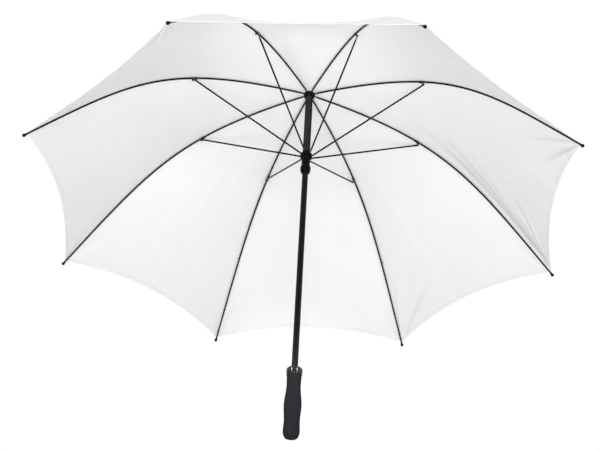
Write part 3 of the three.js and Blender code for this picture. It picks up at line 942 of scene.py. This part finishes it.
def stretcher(rib):
    _, sideways = upright_plane(rib)
    # the pivot's distance in the stretcher's own plane, which stands to one side of the axis
    start = np.array([math.sqrt(WIRE_RADIUS**2 - STRETCHER_ASIDE**2), RUNNER_Z])
    along = unit(EAR - start)
    length = np.linalg.norm(EAR - start)
    flattened = np.array([-0.0022, -0.0014, 0, 0.004, 0.0075, 0.012, 0.016])
    middle = np.linspace(0.03, length - 0.03, 14)
    stations = np.concatenate([flattened, middle, length - flattened[::-1]])
    near_end = np.minimum(stations, length - stations)
    flat = np.clip((0.014 - near_end) / 0.008, 0, 1)
    widths = 0.00195 - 0.00105 * flat
    heights = 0.00195 + 0.00035 * flat
    heights[[0, -1]] = 0.0009
    heights[[1, -2]] = 0.0018
    line = in_plane(rib, start + stations[:, None] * along, STRETCHER_ASIDE)
    rod = swept(line, widths, heights, sideways, 16, 2.3)
    obj = add_mesh(f"stretcher_rod_{rib}", *rod, STRETCHER_BLACK, SOFT)
    place(obj, f"stretcher_{rib}", "stretcher", f"stretcher_{rib}")


BODIES = {"inner": "rib_in", "outer": "rib_out"}
TIES = {"inner": (0.13, 0.29), "outer": (0.56, 0.71, 0.9)}  # shares of the rib
LOOSE_TIE = (2, 0.71)  # the rib and the share of it where a tie's end is left long


def loose_end(centre, sideways, along):
    """The cut end of a tie's thread, standing off to one side of the rib."""
    run = np.linspace(0, 1, 7)[:, None]
    drop = UP * (0.001 + 0.0026 * run**2)
    line = centre + sideways * (0.002 + 0.0065 * run) - drop
    return swept(line, np.full(7, 0.00045), np.full(7, 0.00045), along, 8, 2)


def rib_ties(rib):
    """The threads that hold the cloth's seam to the rib, and the one at the tip."""
    _, sideways = upright_plane(rib)
    for part, shares in TIES.items():
        wound = []
        for share in shares:
            along = rib_direction(rib, share)
            centre = rib_place(rib, share) + 0.0003 * UP
            wound.append(coil(centre, along, 0.0024, 0.00022, 3, 0.0006))
            if (rib, share) == LOOSE_TIE:
                wound.append(loose_end(centre, -sideways, along))
        if part == "outer":
            along = rib_direction(rib, 1.0)
            waist = rib_place(rib, 1.0) - (TIP_LENGTH - 0.0041) * along
            wound.append(coil(waist, along, 0.0024, 0.00025, 2, 0.0005))
        ties = add_mesh(f"seam_ties_{part}_{rib}", *join_parts(wound), THREAD)
        place(ties, f"{BODIES[part]}_{rib}", "canopy")


# ---- The cloth's pieces
COLUMNS = 52
ROWS = {"inner": 40, "outer": 96}
CROWDING = 1.6  # columns stand closer together near the rib, where the creases are
AWAY = np.linspace(0, 1, COLUMNS + 1)[None, :] ** CROWDING
SIDES = {"a": 1, "b": -1}


def cloth(name, inside, outside, flat, material, body, *nodes, sharp=SOFT):
    """A piece of cloth between two grids of points. Its flat coordinates are stored on both faces, for the
    weave, the stitches and the painted shade along the creases."""
    obj = add_mesh(name, *shell(inside, outside), material, sharp)
    attribute = obj.data.attributes.new("flat", "FLOAT_VECTOR", "POINT")
    attribute.data.foreach_set("vector", np.concatenate([flat, flat]).astype(np.float32).ravel())
    place(obj, body, "canopy", *nodes)
    return obj


def cloth_grid(part):
    """Shares and places away from the rib for a grid over one part of a half gore."""
    run = np.linspace(0, 1, ROWS[part] + 1)[:, None]
    if part == "inner":
        share = JOINT_SHARE * run
    else:
        share = JOINT_SHARE + run * (hem_edge(AWAY) - JOINT_SHARE)
    return np.broadcast_arrays(share, AWAY + 0 * run)


def flat_places(share, away, third):
    """Where a cloth point was on the flat cloth, across and along, and a third value: how deep it is folded
    on a gore, which sets the painted shade along its creases, and 1 on the row of stitches of a hem or
    seam."""
    across = away * half_width(share)
    return np.stack([across, share * RIB_LENGTH, third + np.zeros(share.shape)], axis=-1)


def gather(obj):
    """Gives a piece its own copy of its mesh."""
    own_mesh(obj)


def cloth_piece(rib, letter, part):
    side = SIDES[letter]
    share, away = cloth_grid(part)
    inside = half_gore(rib, side, away, share, CLOTH_LIFT)
    outside = half_gore(rib, side, away, share, CLOTH_TOP)
    reach = half_width(share)
    folds = corner_folds(rib, side, share, away * reach)
    # the fold depth, scaled for the painted shade that darkens the cloth along its creases
    flat = flat_places(share, away, folds / DEEPEST_CREASE)
    gore = rib if side == 1 else (rib - 2) % RIB_COUNT + 1
    body, solid = f"{BODIES[part]}_{rib}", f"gore_{part}_{gore}"
    obj = cloth(f"{solid}_{letter}", inside, outside, flat, CLOTH, body, solid)
    hem = [hem_piece(rib, side, gore, letter)] if part == "outer" else []
    gather(obj)


def hem_piece(rib, side, gore, letter):
    """The hem turned up on the inside, with a rolled edge that stands a little past the cloth."""
    drop = np.array([0.0, 0.3, 0.55, 0.8, 0.97, 1.0, 1.03])[:, None]
    share = hem_edge(AWAY) + (drop - 0.97) * HEM_WIDTH / RIB_LENGTH
    rise = np.array([0.00005, 0.0004, 0.0004, 0.0004, 0.0005, 0.0004, 0.0001])[:, None]
    away = AWAY + 0 * drop
    inside = half_gore(rib, side, away, share, CLOTH_LIFT - rise)
    roll = np.array([0, 0, 0, 0, 0, 0.00054, 0.00036])[:, None]
    outside = half_gore(rib, side, away, share, CLOTH_LIFT - 0.00001 + roll)
    flat = flat_places(share, away, 1 + (drop - 0.35) * 2)
    flat[..., 1] = flat[..., 0]  # so that the stitches follow the hem
    obj = cloth(f"hem_{gore}_{letter}", inside, outside, flat, HEM, f"rib_out_{rib}")
    gather(obj)
    return obj


SEAM_HALF = 0.0032
SEAMS = {"inner": (0.006, JOINT_SHARE, 40), "outer": (JOINT_SHARE, HEM_SHARE, 64)}  # from, to, rows


def seam_piece(rib, part):
    """The felled seam over a rib, a doubled strip that lies on both gores."""
    shares = np.linspace(*SEAMS[part])
    steps = np.array([-1, -0.8, -0.4, 0, 0.4, 0.8, 1]) * SEAM_HALF
    rise = np.array([0.00003, 0.0004, 0.0004, 0.00055, 0.0004, 0.0004, 0.00003])
    under, over = [], []
    for step, up in zip(steps, rise):
        side = 1 if step >= 0 else -1
        away = np.clip(abs(step) / half_width(shares), 0, 0.9)
        under.append(half_gore(rib, side, away, shares, CLOTH_TOP - 0.0001))
        over.append(half_gore(rib, side, away, shares, CLOTH_TOP + up))
    row = 0.38 + np.abs(steps) / SEAM_HALF
    flat = np.stack(np.broadcast_arrays(steps, shares[:, None] * RIB_LENGTH, row), -1)
    body = f"{BODIES[part]}_{rib}"
    cloth(f"seam_{part}_{rib}", np.stack(under, 1), np.stack(over, 1), flat, HEM, body)


STRAP_RIB = 3
STRAP_SIDE = -1
STRAP_AWAY = 0.62  # from the rib towards the middle of the gore


def on_strap_gore(away, share, height):
    return half_gore(STRAP_RIB, STRAP_SIDE, away, share, CLOTH_TOP + height)


def strap():
    """The closing strap on the outside of a far gore, sewn at the hem and buttoned flat, and its stud."""
    width, length = 0.02, 0.145
    run = np.linspace(0, 1, 30)[:, None]
    across = np.linspace(-1, 1, 9)[None, :]
    edge = hem_edge(STRAP_AWAY) - 0.012 / RIB_LENGTH
    share = edge - run * length / RIB_LENGTH + 0 * across
    rounding = np.sqrt(np.clip(1 - np.clip((run - 0.93) / 0.07, 0, 1) ** 2, 0.02, 1))
    away = STRAP_AWAY + across * rounding * width / 2 / half_width(share)
    wave = (0.0006 * np.sin(run * 9) * (1 - across**2) + 0.0004) * np.clip(run * 6, 0, 1)
    under = on_strap_gore(away, share, 0.0001 + wave)
    over = on_strap_gore(away, share, 0.0012 + wave)
    flat = np.stack(np.broadcast_arrays(across * width / 2, run * length, 0.2 + np.abs(across)), -1)
    body = f"rib_out_{STRAP_RIB}"
    obj = cloth("closing_strap", under, over, flat, HEM, body, sharp=math.radians(50))
    stud_share = np.array([edge - 0.9 * length / RIB_LENGTH])
    centre, above = (on_strap_gore(np.array([STRAP_AWAY]), stud_share, h)[0] for h in (0.0016, 0.0116))
    normal = unit(above - centre)
    outline = [
        (0.0003, 0.0), (0.0058, 0.0), (0.0062, 0.0004), (0.006, 0.001), (0.0046, 0.0014),
        (0.004, 0.0011), (0.0022, 0.0013), (0.0003, 0.0014),
    ]
    stud = add_mesh("strap_stud", *stood(turned(outline, 32), centre, normal), RIVET)
    place(stud, body, "steel")
    gather(obj)
    gather(stud)


# ---- The stage
FLOOR_Z = -1.42
FLOOR_RINGS = [0.5, 2, 6, 14, 30]
FLOOR_SIDES = 96
SKY_STRENGTH = 1.02


def floor():
    material, tree, shader = new_material("pale_floor", grey(0.62), 0.85)
    grain = noise(tree, 3, 4)
    feed(tree, ramp(tree, grain, [(0.3, grey(0.61)), (0.7, grey(0.63))]), shader.inputs["Base Color"])
    points, faces = turned([(r, FLOOR_Z) for r in FLOOR_RINGS], FLOOR_SIDES)
    add_mesh("floor", points, faces[:-1], material)  # without the cap over the outer ring


def sky():
    """Soft studio light from all round: white where a backdrop would be, dimmer overhead."""
    world = bpy.data.worlds.new("studio")
    bpy.context.scene.world = world
    world.use_nodes = True
    tree = world.node_tree
    source = node(tree, "ShaderNodeTexCoord")
    split = node(tree, "ShaderNodeSeparateXYZ")
    feed(tree, source.outputs["Generated"], split.inputs["Vector"])
    height = node(tree, "ShaderNodeMapRange", From_Min=-1)
    feed(tree, split.outputs["Z"], height.inputs["Value"])
    band = ramp(tree, height.outputs["Result"], [
        (0.5, grey(0.55)), (0.6, grey(0.66)), (0.7, grey(1.0)), (0.87, grey(1.0)), (0.93, grey(0.66)),
        (1.0, grey(0.5)),
    ])
    background = tree.nodes["Background"]
    background.inputs["Strength"].default_value = SKY_STRENGTH
    feed(tree, band, background.inputs["Color"])


def aim(data, where, target, power):
    """Stands a light somewhere, turned to its target and hidden from the camera."""
    data.energy = power
    obj = in_scene(data.name, data)
    obj.location = where
    obj.rotation_euler = (Vector(target) - Vector(where)).to_track_quat("-Z", "Y").to_euler()
    obj.visible_camera = False


def lamp(name, where, target, size, power):
    data = bpy.data.lights.new(name, "AREA")
    data.shape = "RECTANGLE"
    data.size, data.size_y = size
    aim(data, where, target, power)


def spot(name, where, target, radius, degrees, power):
    data = bpy.data.lights.new(name, "SPOT")
    data.shadow_soft_size = radius
    data.spot_size = math.radians(degrees)
    data.spot_blend = 1
    aim(data, where, target, power)


def lights():
    lamp("front_low", (0.1, -1.9, -1.36), (0.1, -1.9, 5), (1.6, 1.0), 51)
    spot("front", (0.3, -3.4, -0.6), (0, 0.1, 0.6), 0.4, 29, 78)
    spot("near_gore", (0.45, 1.6, -1.1), (0.0, -0.22, 0.83), 0.22, 12, 70)
    lamp("key", (-2.2, -2.6, 3.4), (0, 0, 0.6), (1.5, 1.5), 30)
    spot("grip", (0.12, -2.2, -1.1), (0, 0, 0.01), 0.15, 7, 300)
    spot("left_window", (-0.34, -0.5, 0.3), (0, 0, 0.075), 0.08, 17, 8)
    spot("right_window", (0.39, -0.48, 0.3), (0, 0, 0.075), 0.08, 17, 8)


# ---- The camera
CAMERA_TARGET = Vector((-0.0054, -0.0005, 0.4536))
CAMERA_DISTANCE = 2.9993
CAMERA_AZIMUTH = math.radians(3.342)  # to the right of straight in front
CAMERA_BELOW = math.radians(35.57)
CAMERA_ROLL = math.radians(3.184)
CAMERA_LENS = 79.21


def camera():
    data = bpy.data.cameras.new("camera")
    data.lens = CAMERA_LENS
    data.sensor_width = 36
    obj = in_scene("camera", data)
    look = Vector((
        -math.sin(CAMERA_AZIMUTH) * math.cos(CAMERA_BELOW),
        math.cos(CAMERA_AZIMUTH) * math.cos(CAMERA_BELOW),
        math.sin(CAMERA_BELOW),
    ))
    level = look.to_track_quat("-Z", "Y").to_matrix().to_4x4()
    tilt = Matrix.Rotation(CAMERA_ROLL, 4, "Z")
    obj.matrix_world = Matrix.Translation(CAMERA_TARGET - look * CAMERA_DISTANCE) @ level @ tilt
    bpy.context.scene.camera = obj


# ---- The umbrella
shaft()
notch()
cap()
ferrule()
runner()
sleeve_ladders()
foam_grip()
grip_core()
grip_collar()
for rib in range(1, RIB_COUNT + 1):
    inner_rib(rib)
    outer_rib(rib)
    rib_clip(rib)
    rib_tip(rib)
    stretcher(rib)
    rib_ties(rib)
    for gore_part in ROWS:
        seam_piece(rib, gore_part)
        for half in SIDES:
            cloth_piece(rib, half, gore_part)
strap()

for cad_name in ("notch_wire", "runner_wire", "top_catch", "bottom_catch"):
    kept = frame["nodes"][cad_name]
    kept.data.materials.clear()
    kept.data.materials.append(STEEL_BLACK)

floor()
sky()
lights()
camera()
bpy.context.scene.view_settings.view_transform = "Standard"
